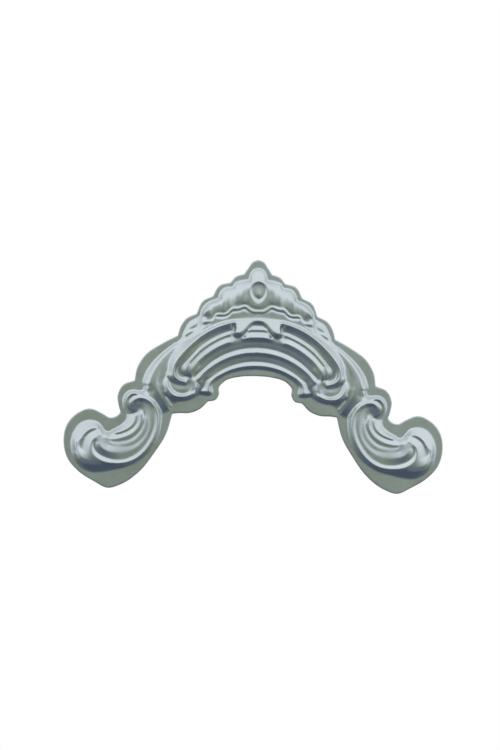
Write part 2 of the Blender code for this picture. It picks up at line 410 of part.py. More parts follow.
def read_grid(us, zs, grid, points):
    """Heights at points, between the four cells round each."""
    a = np.clip((points[:, 0] - us[0]) / GRID_CELL, 0, len(us) - 1 - TOUCHING)
    b = np.clip((points[:, 1] - zs[0]) / GRID_CELL, 0, len(zs) - 1 - TOUCHING)
    i = a.astype(int)
    j = b.astype(int)
    s = a - i
    t = b - j
    low = grid[j, i] * (1 - s) + grid[j, i + 1] * s
    high = grid[j + 1, i] * (1 - s) + grid[j + 1, i + 1] * s
    return low * (1 - t) + high * t


def spaced(line, step):
    """Points at even steps along a line, with both its ends."""
    gaps = np.linalg.norm(np.diff(line[:, :2], axis=0), axis=1)
    along = np.concatenate([[0.0], np.cumsum(gaps)])
    count = max(2, int(round(along[-1] / step)) + 1)
    place = np.linspace(0.0, along[-1], count)
    return np.column_stack([np.interp(place, along, line[:, k]) for k in (0, 1)])


def plan_line(stretches, step):
    """A line of the plan from the top of the centre line round to its foot, at even steps."""
    lines = [spaced(smooth_curve(stretch), step) for stretch in stretches]
    line = np.concatenate([part[:-1] for part in lines[:-1]] + [lines[-1]])
    line[[0, -1], 0] = 0.0
    return line


def triangulated(rim, foot, free):
    """Triangles over the right half, bordered by the rim, with the relief's foot as a line of edges."""
    middle = spaced(np.array([foot[-1], foot[0]]), CENTRE_STEP / MM)
    border = np.concatenate([rim, middle])
    points = np.concatenate([border, foot[1:-1], free])
    edges = [(i, (i + 1) % len(border)) for i in range(len(border))]
    ridge = list(range(len(border), len(border) + len(foot) - 2))
    chain = [len(border) - 1] + ridge + [len(rim)]
    edges += list(zip(chain, chain[1:]))
    plan = [Vector(point) for point in points]
    verts, _, faces, _, _, _ = delaunay_2d_cdt(plan, edges, [], WITH_BORDER, SAME_POINT)
    return np.array([tuple(v) for v in verts]), np.array(faces)


def worst_cells(us, zs, grid, verts, faces, heights):
    """For each triangle, the grid cell where its plane is farthest from the surface."""
    found = []
    for face in faces:
        a, b, c = verts[face]
        (i0, j0), (i1, j1) = np.minimum(np.minimum(a, b), c), np.maximum(np.maximum(a, b), c)
        i0, i1 = np.searchsorted(us, (i0, i1))
        j0, j1 = np.searchsorted(zs, (j0, j1))
        if i1 <= i0 or j1 <= j0:
            continue
        across, up = np.meshgrid(us[i0:i1], zs[j0:j1])
        area = (b[0] - a[0]) * (c[1] - a[1]) - (c[0] - a[0]) * (b[1] - a[1])
        if area == 0:
            continue
        s = ((across - a[0]) * (c[1] - a[1]) - (c[0] - a[0]) * (up - a[1])) / area
        t = ((b[0] - a[0]) * (up - a[1]) - (across - a[0]) * (b[1] - a[1])) / area
        ha, hb, hc = heights[face]
        miss = np.abs(ha + s * (hb - ha) + t * (hc - ha) - grid[j0:j1, i0:i1])
        miss[(s < MARGIN) | (t < MARGIN) | (s + t > 1 - MARGIN)] = 0.0
        j, i = np.unravel_index(np.argmax(miss), miss.shape)
        found.append((miss[j, i], across[j, i], up[j, i]))
    return np.array(found)


def fitted_half(us, zs, grid, rim, foot, level, budget):
    """A half surface with its points where the relief bends, and its rim and foot at the level."""
    free = np.zeros((0, 2))
    while True:
        verts, faces = triangulated(rim, foot, free)
        heights = read_grid(us, zs, grid, verts)
        heights[:len(rim)] = level
        on_foot = np.abs(verts[:, None, :] - foot[None, :, :]).sum(axis=2).min(axis=1) < TOUCHING
        heights[on_foot] = level
        if len(free) >= budget:
            return verts, faces, heights
        found = worst_cells(us, zs, grid, verts, faces, heights)
        found = found[np.argsort(-found[:, 0])]
        take = min(budget - len(free), max(LEAST_ADDED, int(len(found) * ADDED_SHARE)))
        free = np.concatenate([free, found[:take, 1:]])


def mirrored(points, heights, verts):
    """Adds the points of a half surface on both sides, and gives their places right and left."""
    places = []
    for side in (1, -1):
        place = []
        for k, ((u, z), height) in enumerate(zip(points, heights)):
            if side < 0 and u < TOUCHING:
                place.append(places[0][k])
            else:
                place.append(len(verts))
                verts.append((side * u * MM, -height * MM, z * MM - MOUNT_UP))
        places.append(place)
    return places


def edge_band(front, back, turned):
    """Faces of the narrow edge between the front rim and the back rim."""
    quads = []
    for k in range(len(front) - 1):
        quad = (front[k], front[k + 1], back[k + 1], back[k])
        quads.append(quad[::-1] if turned else quad)
    return quads


def full_shell():
    """Vertices and faces of the whole closed piece, in metres."""
    us, zs, front, within = relief_grid(GRID_CELL, SOFTNESS)
    back = back_grid(front, within)
    rim = plan_line(OUTLINE, OUTLINE_STEP / MM)
    foot = plan_line(FOOT, OUTLINE_STEP / MM)
    verts = []
    faces = []
    rims = []
    for grid, level, budget, outward in ((front, FLANGE, FRONT_POINTS, 1), (back, 0.0, BACK_POINTS, -1)):
        points, triangles, heights = fitted_half(us, zs, grid, rim, foot, level, budget)
        for side, place in zip((1, -1), mirrored(points, heights, verts)):
            for a, b, c in triangles:
                turned = (a, b, c) if side == outward else (a, c, b)
                faces.append(tuple(place[k] for k in turned))
            rims.append(place[:len(rim)])
    front_right, front_left, back_right, back_left = rims
    faces += edge_band(front_right, back_right, False)
    faces += edge_band(front_left, back_left, True)
    return verts, faces


def cast_metal():
    """Satin silver-grey metal."""
    material = bpy.data.materials.new("satin_aluminium")
    material.use_nodes = True
    shader = material.node_tree.nodes["Principled BSDF"]
    shader.inputs["Base Color"].default_value = (0.56, 0.57, 0.56, 1.0)
    shader.inputs["Metallic"].default_value = 1.0
    shader.inputs["Roughness"].default_value = 0.36
    return material


def main():
    for old in list(bpy.data.objects):
        bpy.data.objects.remove(old, do_unlink=True)
    verts, faces = full_shell()
    mesh = bpy.data.meshes.new("corner_ornament")
    mesh.from_pydata(verts, [], faces)
    mesh.validate()
    mesh.materials.append(cast_metal())
    piece = bpy.data.objects.new("corner_ornament", mesh)
    bpy.context.scene.collection.objects.link(piece)


main()
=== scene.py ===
"""Corner ornament in satin silver-grey metal: fine relief, metal, studio light and camera."""
import bpy
import numpy as np
from math import atan, cos, radians, sin
from mathutils import Matrix, Vector
from mathutils.geometry import delaunay_2d_cdt


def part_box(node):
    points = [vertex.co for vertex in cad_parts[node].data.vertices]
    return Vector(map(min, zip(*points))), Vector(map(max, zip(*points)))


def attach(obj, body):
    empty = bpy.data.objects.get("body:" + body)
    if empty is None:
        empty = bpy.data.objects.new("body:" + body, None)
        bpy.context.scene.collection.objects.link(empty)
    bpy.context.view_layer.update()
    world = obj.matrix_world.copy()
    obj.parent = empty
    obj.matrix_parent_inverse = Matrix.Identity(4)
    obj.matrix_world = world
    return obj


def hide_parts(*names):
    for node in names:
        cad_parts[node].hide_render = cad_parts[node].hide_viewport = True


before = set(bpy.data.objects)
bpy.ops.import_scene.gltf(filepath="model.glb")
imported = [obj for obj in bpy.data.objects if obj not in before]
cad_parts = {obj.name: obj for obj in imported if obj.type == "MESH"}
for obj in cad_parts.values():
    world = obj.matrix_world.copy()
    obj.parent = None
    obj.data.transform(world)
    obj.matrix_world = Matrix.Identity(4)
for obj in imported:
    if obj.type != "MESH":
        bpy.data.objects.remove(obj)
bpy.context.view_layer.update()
node_low, node_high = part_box("corner_ornament")

# The plan is drawn in millimetres, 200 wide, with its zero at the middle of the arch.
DRAWN_WIDTH = 200.0
MM = (node_high[0] - node_low[0]) / DRAWN_WIDTH
DRAWN_TOP = 45.7
MOUNT_UP = DRAWN_TOP * MM - node_high[2]

# The grid on which the relief settles, and how far the relief is softened.
GRID_CELL = 0.2
GRID_REACH = 101.0
GRID_LOW = -77.0
GRID_TOP = 47.0
SOFTNESS = 0.34
# The hollow back: its wall, how far it keeps inside the relief, and how far it is softened.
WALL = 1.4
BACK_GAP = 1.4
BACK_SOFTNESS = 0.9

# Spacing of the mesh points on the front, on the back and along the outline.
FRONT_STEP = 0.43
BACK_STEP = 1.1
RIM_STEP = 0.5
# The net keeps clear of the outline: how far the inside is softened, and the share that still counts as in.
RIM_SPREAD = 0.3
RIM_SHARE = 0.93
# How near two points touch and when they are the same, and the kind of mesh that keeps its border.
TOUCHING = 1e-4
SAME_POINT = 1e-6
WITH_BORDER = 1
# Rows of an even triangular net lie this share of its step apart.
ROW_SHARE = 0.75**0.5
# The rounded flange edge, from front to back: how far in from the outline, and the height over the back.
EDGE_PROFILE = ((0.15, 1.46), (0.04, 1.41), (0.0, 1.3), (0.0, 0.2), (0.12, 0.0))

# The metal's darker and lighter tones and its least and most roughness, at the ends of the noises' range.
NOISE_LOW = 0.3
NOISE_HIGH = 0.7
METAL_DARK = (0.74, 0.75, 0.74)
METAL_LIGHT = (0.82, 0.83, 0.825)
ROUGH_LOW = 0.27
ROUGH_HIGH = 0.34
# Scale, detail and roughness of each noise.
TONE_NOISE = (45.0, 4.0, 0.55)
GLOSS_NOISE = (160.0, 3.0, 0.6)
WAVE_NOISE = (260.0, 2.0, 0.5)
GRAIN_NOISE = (2600.0, 2.0, 0.5)
# Strength and depth of the cast unevenness and of the fine grain.
WAVE_BUMP = (0.10, 0.0004)
GRAIN_BUMP = (0.08, 0.00005)

# How much of the light's level comes from the side and from above, and is lost behind the piece.
SIDE_SHARE = 0.55
UP_SHARE = 0.75
BEHIND_SHARE = 0.7
# The studio's colour by level, from low (-1) to high (1).
SKY = (
    (-1.0, (0.06, 0.08, 0.12)),
    (-0.55, (0.07, 0.095, 0.14)),
    (-0.3, (0.115, 0.15, 0.205)),
    (-0.16, (0.125, 0.165, 0.215)),
    (-0.07, (0.122, 0.155, 0.18)),
    (-0.03, (0.142, 0.17, 0.08)),
    (0.05, (0.25, 0.288, 0.135)),
    (0.12, (0.27, 0.33, 0.32)),
    (0.3, (0.44, 0.52, 0.575)),
    (0.5, (0.74, 0.82, 0.88)),
    (0.95, (0.76, 0.83, 0.88)),
)
# What the camera itself sees of the studio.
WHITE = (1.0, 1.0, 1.0)
# The soft box, in metres and watts.
SOFTBOX_WATTS = 0.12
SOFTBOX_COLOUR = (0.88, 1.0, 0.86)
SOFTBOX_WIDTH = 0.8
SOFTBOX_HEIGHT = 0.36
SOFTBOX_PLACE = (0.0, -0.62, 0.32)
SOFTBOX_TILT = radians(62.0)
# The floor, in metres.
FLOOR_DEPTH = 0.42
FLOOR_RADIUS = 1.0
FLOOR_CORNERS = 96
FLOOR_COLOUR = (0.82, 0.82, 0.81)
FLOOR_ROUGHNESS = 0.8

# The photograph's frame: 500 by 750, the drawing's zero at a pixel, its tilt and what one pixel measures.
FRAME_WIDTH = 500.0
FRAME_HEIGHT = 750.0
ZERO_ACROSS = 256.3
ZERO_DOWN = 346.8
TILT = radians(1.4)
PIXEL = 0.5257
CAMERA_AZIMUTH = radians(-5.0)
CAMERA_DISTANCE = 1.6
CAMERA_NEAR = 0.05

# Height of the flange over the back plane, and the spacing of points along a smooth line, in mm.
FLANGE = 1.5
CURVE_STEP = 0.15

# Plan lines of the left-right symmetric relief, in mm. Each point is the distance from the centre line and
# the place up the piece. Corner points are repeated where two smooth stretches meet.
OUTLINE = (
    ((0, 45.7), (2.7, 44.7), (5.1, 41.5), (7.4, 38.1)),
    ((7.4, 38.1), (11.4, 36.8), (14.5, 33.5)),
    ((14.5, 33.5), (20.1, 31.8), (23.6, 26.1)),
    ((23.6, 26.1), (28.7, 23.4), (31.9, 16.7)),
    ((31.9, 16.7), (37.2, 14.0), (40.2, 9.6), (41.5, 5.0)),
    ((41.5, 5.0), (50, 0.4), (58.3, -5.6), (62.4, -12.5), (63.6, -19.1)),
    ((63.6, -19.1), (69.5, -21.6), (72.3, -27.5), (71.5, -33), (70.8, -36.2), (72.6, -38), (75.8, -38.9),
     (80, -36.8), (86.5, -34.4), (93.6, -37.3), (98.4, -43), (100, -51.5), (97.5, -61), (91.5, -67.6),
     (83.5, -72.5), (76.3, -75.7), (69.5, -73.7), (60, -66.8), (52.2, -56.6), (46.5, -47), (43.4, -36.2)),
    ((43.4, -36.2), (40, -35.8), (34.5, -35.6), (29.5, -33.7), (24.8, -29.3)),
    ((24.8, -29.3), (21, -28.4), (19.1, -25.3), (19.2, -21.8), (16.3, -18.5), (8.5, -16), (0, -15.4)),
)
FOOT = (
    ((0, 41.2), (2.5, 40.5), (4.0, 38.6), (4.9, 35.0)),
    ((4.9, 35.0), (9.4, 34.5), (11.9, 33.3), (13.3, 31.0)),
    ((13.3, 31.0), (17.2, 30.6), (19.7, 28.6), (20.8, 24.6)),
    ((20.8, 24.6), (24.3, 23.5), (27.0, 22.1), (28.9, 19.6), (30.2, 15.2)),
    ((30.2, 15.2), (32.4, 14.2), (35.4, 12.6), (37.4, 9.9), (38.6, 6.6), (39.4, 3.9)),
    ((39.4, 3.9), (41.6, 1.6), (46.0, -1.6), (51.0, -5.8), (55.6, -10.9), (58.7, -16.2), (59.8, -20.4)),
    ((59.8, -20.4), (58.6, -21.8), (58.7, -23.4), (60.4, -24.7), (63.0, -24.5), (66.2, -24.7),
     (68.7, -26.8), (69.6, -30.2), (69.0, -34), (67.8, -36.8), (67.7, -39.6), (69.5, -41.9), (72.4, -44.0),
     (75.3, -45.7)),
    ((75.3, -45.7), (76.9, -46.6), (78.6, -45.8), (80.0, -43.8), (81.8, -41.7), (84.8, -40.5),
     (88.4, -40.5), (92, -42.2), (95, -46.2), (96.4, -52), (95.4, -58.6), (91.6, -64.2), (86, -67.4),
     (79.5, -67.3), (73, -65.9), (66, -63.9), (60.0, -60.4), (54.0, -54.4), (50.2, -46.8), (49.1, -39.6),
     (48.9, -36.4)),
    ((48.9, -36.4), (46.4, -35.7), (44.4, -33.6), (42.8, -31.0), (40.0, -29.4), (36.2, -28.9),
     (32.6, -27.5), (29.6, -25.7)),
    ((29.6, -25.7), (26.4, -26.0), (23.4, -25.8), (22.3, -24.3), (23.1, -22.0), (22.8, -20.4)),
    ((22.8, -20.4), (21.0, -18.5), (16.0, -15.0), (8.5, -12.4), (0, -11.5)),
)


def arc(top, radius, height, reach, start=0.0, fall=0.0, steps=5):
    """A moulding line round the arch: a circle whose highest point is on the centre line."""
    centre = top - radius
    across = [start + (reach - start) * i / steps for i in range(steps + 1)]
    return tuple((u, centre + (radius**2 - u**2) ** 0.5, height - fall * u / reach) for u in across)


# Crest and valley lines of the relief. The third number is the height over the back plane.
CROWN = {
    "slot_edge": ((0, 16.8, 6.8), (3.2, 16.9, 6.8), (5.6, 17.8, 6.8), (7.1, 18.7, 6.8), (8.8, 18.2, 6.8),
                  (11, 17.6, 6.8), (13.4, 17.2, 6.8), (15.2, 15.8, 6.75), (17.2, 14.7, 6.7),
                  (19.4, 14.4, 6.65), (21.6, 14.3, 6.6)),
    "fourth_edge": ((31.6, 12.6, 2.3), (33.6, 11.6, 2.35), (35.6, 9.8, 2.35), (36.8, 7.9, 2.3)),
    "petal_top": ((0, 40.1, 3.36), (1.6, 39.5, 3.36), (2.9, 37.9, 3.48), (3.6, 35.9, 3.84)),
    "petal": ((0, 37.7, 5.04), (0, 35.3, 6.4)),
    "drop_rim": ((0, 34.3, 6.9), (2.6, 33.6, 6.9), (4.3, 31.4, 6.9), (4.5, 28.8, 6.9), (3.7, 26.2, 6.9),
                 (2.0, 23.8, 6.9), (0, 22.5, 6.9)),
    "drop_wall": ((0, 33.1, 6.25), (2.1, 32.4, 6.25), (3.5, 30.7, 6.25), (3.6, 28.7, 6.3),
                  (2.9, 26.8, 6.3), (1.4, 25.2, 6.15)),
    "drop_floor": ((0, 31.9, 6.2), (0, 30.4, 6.25), (0, 28.6, 6.45), (0, 27.1, 6.6), (0, 25.9, 6.3),
                   (0, 24.9, 5.85), (0, 24.2, 6.1)),
    "skirt": ((0, 20.9, 6.9), (2.6, 21.6, 6.9), (5.2, 24.1, 6.85)),
    "first_top": ((8.0, 31.2, 6.65), (8.1, 28.3, 6.95), (7.9, 25.1, 7), (7.4, 22.9, 6.95)),
    "first_dip": ((6.4, 31.7, 6.4), (6.2, 29.3, 6.7), (6.2, 26.5, 6.8)),
    "first_slope": ((11.6, 32.7, 3.96), (11.6, 29.9, 5.7), (11.7, 27.2, 6.6), (11.4, 23.3, 6.8)),
    "first_gap": ((13.3, 30.1, 3.24), (13.5, 28.1, 5.16), (13.4, 25.4, 6.1), (13.0, 21.9, 6.5)),
    "second_line": ((15.6, 28.9, 5.16), (15.8, 26.3, 6.2), (15.8, 23.6, 6.65), (15.2, 20.5, 6.7)),
    "second_dip": ((16.4, 28.5, 5.04), (16.6, 26.0, 6), (16.5, 23.4, 6.5), (16.0, 20.3, 6.6)),
    "second_top": ((18.4, 26.3, 6), (18.6, 24.1, 6.65), (18.4, 21.3, 6.8), (18.2, 18.5, 6.7)),
    "second_gap": ((20.6, 23.6, 6.0), (21.2, 22.2, 6.25), (21.6, 20.4, 6.35), (21.4, 18.2, 6.4)),
    "third_inner": ((22.6, 22.6, 5.9), (23.0, 20.6, 6.2), (23.0, 17.3, 6.25)),
    "third_line": ((24.2, 22.0, 5.5), (24.2, 20.4, 6.1), (24.1, 16.9, 6.25)),
    "third_top": ((25.4, 19.6, 6.4), (26.8, 18.9, 6.5), (28.2, 17.8, 6.4), (28.8, 15.8, 6.2)),
    "fourth_top": ((32.6, 10.8, 2.65), (34.2, 9.9, 2.65), (35.4, 8.9, 2.6)),
    "lip_valley": ((0, 19.3, 6.65), (2.6, 19.6, 6.65), (5.0, 21.0, 6.6), (7.2, 22.0, 6.5),
                   (9.0, 21.5, 6.5), (10.8, 20.8, 6.5), (13.4, 20.8, 6.5), (15.0, 19.6, 6.45),
                   (16.3, 18.0, 6.4), (18, 17.3, 6.35), (21.0, 17.3, 6.25), (22.8, 16.4, 6.15),
                   (23.7, 14.6, 6.1), (24.8, 13.8, 6.1), (27, 13.4, 6.05), (28.9, 13.3, 5.9),
                   (30.6, 12.2, 3.2), (31.4, 9.8, 2.65), (32.8, 8.8, 2.6), (35, 8.2, 2.55),
                   (37.2, 7.0, 2.5), (38.2, 6.2, 2.4)),
    "lip": ((0, 18.1, 7.15), (3, 18.3, 7.15), (5.3, 19.6, 7.1), (7.1, 20.8, 7.05), (8.8, 20.1, 7.05),
            (10.8, 19.5, 7.05), (13.5, 19.4, 7.0), (15.2, 17.6, 6.95), (17.0, 16.2, 6.85),
            (19.4, 16.1, 6.75), (21.6, 16.0, 6.7), (22.4, 14.5, 6.6), (23.9, 12.8, 6.55),
            (26.4, 12.2, 6.5), (28.6, 12.0, 6.2), (29.9, 10.6, 4.2), (31.6, 8.3, 3.3), (33.8, 7.4, 3.2),
            (35.8, 6.5, 3.15), (37.6, 5.6, 3.1), (38.6, 4.9, 2.9)),
    "slot": ((0, 17.5, 6.75), (3.2, 17.6, 6.75), (5.6, 18.7, 6.5), (7.1, 19.8, 6.3), (8.8, 19.2, 6.4),
             (11, 18.5, 6.4), (13.4, 18.1, 6.35), (15.2, 16.6, 6.25), (17.2, 15.5, 6.0), (19.4, 15.2, 5.9),
             (21.6, 15.1, 5.9)),
    "slot_mid": ((25.2, 11.6, 6.15), (27.2, 11.2, 6.0), (28.6, 10.9, 5.6)),
    "slot_low": ((33.4, 6.6, 3.0), (35.4, 5.6, 2.9), (37.4, 4.6, 2.85), (38.4, 4.0, 2.8)),
    "strip": ((0, 16.0, 6.85), (6, 16.0, 6.8), (12, 15.6, 6.8), (14.4, 14.8, 6.75), (17, 14.1, 6.7),
              (20, 13.5, 6.65), (23, 12.2, 6.55), (26, 10.4, 6.4), (29, 8.7, 5.8), (31, 7.3, 4.8),
              (33, 5.9, 3.8), (36, 4.1, 3.1), (38.5, 2.8, 3.1)),
}
ARCH = {
    "rim_foot": ((0, 15.0, 6.9), (6, 14.7, 6.85), (12, 13.9, 6.8), (16, 12.9, 6.75), (20, 11.8, 6.65),
                 (25, 9.5, 6.5), (30, 6.6, 5.4), (35, 3.6, 3.5), (38.2, 1.7, 3.3), (40.8, -0.5, 3.7),
                 (43.2, -3.5, 4.3), (45.0, -6.7, 4.8), (46.1, -10.2, 5.1), (46.7, -13.8, 5.2),
                 (47.6, -16.6, 5.2)),
    "rim": ((12.2, 12.4, 9.16), (15, 12.0, 9.25), (20, 10.3, 9.4), (25, 7.9, 9.55), (30, 4.7, 9.6),
            (34.6, 0.7, 9.91), (38, -2.8, 9.98), (41, -6.6, 9.8), (43.1, -10.0, 9.4), (43.9, -13.2, 9.1),
            (43.6, -15.4, 8.8), (42.3, -17.3, 8.5), (40.3, -18.7, 8.2), (37.6, -19.4, 7.8)),
    "rim_cove": ((13.9, 9.7, 6.92), (20, 8.0, 6.9), (25, 5.4, 6.95), (30, 2.0, 6.9), (34, -1.9, 7.14),
                 (37.6, -6.5, 7.14), (40.6, -10.6, 6.9), (41.9, -13.4, 6.6), (41.8, -15.4, 6.4),
                 (40.4, -17.0, 6.3), (38.6, -17.8, 6.3), (37.0, -17.9, 6.4)),
    "first_valley_mid": arc(10.7, 46.0, 6.3, 3.6, steps=2, fall=-0.11),
    "first_mid": arc(8.7, 45.6, 7.1, 4.8, steps=2, fall=-0.14),
    "first_groove_mid": arc(7.9, 45.0, 6.6, 5.6, steps=2, fall=-0.17),
    "first_valley": arc(10.3, 46.0, 5.9, 30, start=13.9, fall=-0.9) + ((33.6, -4.7, 6.9),
           (37.2, -8.9, 6.89), (39.9, -11.9, 6.69), (39.9, -14.1, 6.39), (38.4, -15.8, 6.12),
           (35.8, -16.5, 5.84)),
    "first": arc(8.5, 45.6, 6.8, 30, start=13.8, fall=-0.9) + ((33.6, -6.5, 7.8), (36.6, -10.4, 7.9),
           (37.4, -12.8, 7.9), (36.6, -14.7, 7.7)),
    "first_groove": arc(7.6, 45.0, 6.3, 30, start=13.7, fall=-0.9) + ((32.8, -6.9, 7.31),
           (35.4, -9.9, 7.49)),
    "second_mid": arc(4.5, 42.0, 7.9, 6.4, steps=2, fall=-0.19),
    "second": arc(4.4, 42.0, 7.7, 30, start=13.9, fall=-0.4) + ((32.6, -11.4, 8.19), (34.4, -13.8, 8.18),
           (35.1, -15.6, 7.86)),
    "second_wall": arc(3.3, 41.2, 5.9, 30, fall=-0.5) + ((32.1, -13.4, 6.43), (33.6, -15.7, 6.3)),
    "second_hollow": arc(2.2, 40.8, 5.6, 30, fall=-0.5),
    "second_step": arc(1.1, 40.4, 5.5, 30, fall=-0.5),
    "third_valley": arc(-0.6, 39.8, 5.1, 29.6, fall=-0.49) + ((31.6, -15.3, 5.48), (33.0, -17.1, 5.43)),
    "third": arc(-3.4, 39.4, 6.2, 28, fall=-0.44) + ((29.8, -17.5, 6.49), (31.0, -18.5, 6.21)),
    "third_wall": arc(-4.4, 38.6, 4.7, 27.4, fall=-0.52) + ((29.0, -18.5, 4.87),),
    "fourth_hollow": arc(-5.4, 38.0, 4.4, 27, fall=-0.51),
    "fourth_step": arc(-6.5, 37.4, 4.3, 26, fall=-0.48),
    "fourth_valley": arc(-7.9, 36.6, 3.9, 24, fall=-0.72) + ((26.4, -17.9, 4.39), (27.3, -19.9, 4.12),
           (27.6, -21.9, 3.83), (28.6, -23.7, 3.66)),
    "fourth": arc(-10.5, 36.4, 5.2, 18.4, fall=-0.35) + ((21.4, -17.1, 5.54), (23.5, -19.3, 5.5),
           (24.5, -21.4, 5.4), (24.2, -23.2, 5.3), (23.6, -24.5, 5.0)),
    "tab": ((12.2, 12.4, 8.67), (11.5, 11.2, 8.75), (11.4, 9.4, 9.14), (12.0, 7.3, 9.66),
            (10.9, 6.5, 9.83), (9.5, 6.8, 9.69), (8.2, 7.7, 9.45), (6.4, 9.7, 8.79), (4.6, 11.7, 8.14),
            (2.6, 13.1, 7.68), (0, 13.6, 7.5)),
    "tab_foot": ((12.8, 11.2, 5.9), (12.5, 9.2, 5.9), (13.0, 7.2, 5.9), (12.8, 5.4, 6.0), (11.6, 4.6, 6.0),
                 (9.8, 4.6, 6.0), (8.2, 5.7, 6.2), (6.2, 7.9, 6.4), (4.5, 9.9, 6.4), (2.9, 11.2, 6.3),
                 (0, 11.9, 6.3)),
}
LEAF = {
    "shoulder": ((42.4, 0.2, 3.9), (45.0, -2.2, 4.4), (48.2, -5.3, 4.8), (51.2, -8.9, 5.1),
                 (53.6, -12.8, 5.3), (55.4, -16.8, 5.45), (56.3, -20.4, 5.55)),
    "inner": ((44.8, -3.4, 4.5), (47.4, -6.9, 4.95), (49.7, -10.4, 5.2), (51.4, -13.8, 5.4),
              (52.4, -17.0, 5.55), (52.9, -20, 5.65), (52.9, -22.2, 5.65), (51.9, -24.4, 5.6),
              (50.2, -27.0, 5.2), (48.4, -29.6, 4.4), (46.5, -32.4, 3.3), (44.8, -34.8, 2.1)),
    "end": ((58.2, -20.8, 5.0), (56.3, -20.9, 5.4), (54.4, -21.6, 5.5), (52.9, -22.2, 5.65)),
    "end_foot": ((57.5, -22.4, 4.9), (57.5, -23.8, 4.9), (56, -24.0, 4.95), (54.0, -24.6, 5.0)),
    "strip": ((43.8, -3.9, 4.3), (46.2, -7.5, 4.75), (48.4, -11.0, 5.0), (50.0, -14.2, 5.1),
              (51.0, -17.2, 5.2), (51.4, -20.4, 5.25)),
    "valley_out": ((62.6, -25.6, 5.0), (60.2, -26.4, 5.0), (58.4, -26.8, 5.05), (56.4, -27.5, 5.1),
                   (53.8, -29.0, 5.0), (51.9, -31.1, 4.4), (50.3, -33.4, 3.2), (49.0, -35.6, 1.8)),
    "valley_in": ((49.6, -22.6, 5.3), (48.8, -25.2, 5.1), (47.2, -28.4, 4.4), (45.0, -31.4, 3.0),
                  (43.4, -33.2, 1.9)),
}
EYE = {
    "curl_side": ((48.2, -17.4, 5.15), (48.9, -19.6, 5.25), (48.8, -21.6, 5.35), (48.0, -24.0, 5.2)),
    "cheek": ((33.6, -23.2, 6.55), (32.2, -22.4, 6.5), (32.0, -20.4, 6.4), (32.8, -18.6, 6.35)),
    "rim_end": ((46.6, -15.4, 6.6), (45.0, -16.9, 7.4), (43.0, -18.0, 7.8)),
    "slit": ((46.6, -17.1, 5.4), (45.2, -18.9, 5.25), (43, -20.0, 5.3), (40.6, -20.5, 5.4),
             (38.2, -20.8, 5.65)),
    "curl": ((46.9, -17.8, 6.0), (47.3, -19.6, 6.5), (46.9, -22.0, 6.9), (45.3, -24.9, 7.0),
             (42.6, -26.9, 7.1), (39.4, -27.5, 7.2), (36.2, -27.1, 7.3), (33.6, -26.1, 7.3),
             (32.0, -24.9, 7.1)),
    "valley": ((45.8, -19.5, 5.4), (45.2, -21.4, 5.4), (43.5, -23.9, 5.45), (41.2, -25.2, 5.5),
               (38.6, -25.7, 5.6), (36.4, -25.1, 5.8), (35.2, -23.8, 6.1)),
    "inner_curl": ((44.0, -21.8, 5.42), (41.6, -22.9, 5.56), (38.8, -22.8, 5.72), (36.4, -21.6, 5.9),
                   (35.0, -19.8, 6.2), (34.8, -17.8, 6.4)),
    "inner_dip": ((43.4, -21.0, 5.38), (41.4, -22.2, 5.46), (38.8, -22.1, 5.6), (37.0, -21.1, 5.75),
                  (36.1, -19.6, 6.0)),
    "under": ((46.9, -26.8, 4.2), (44.8, -28.6, 3.4), (43.6, -30.0, 2.6)),
    "gap": ((30.3, -24.4, 3.2), (29.7, -22.2, 4.0), (30.0, -19.8, 4.8)),
    "toe": ((28.5, -24.0, 4.5), (27.0, -24.3, 4.9), (25.2, -24.7, 5.1), (23.8, -24.8, 5.0)),
}
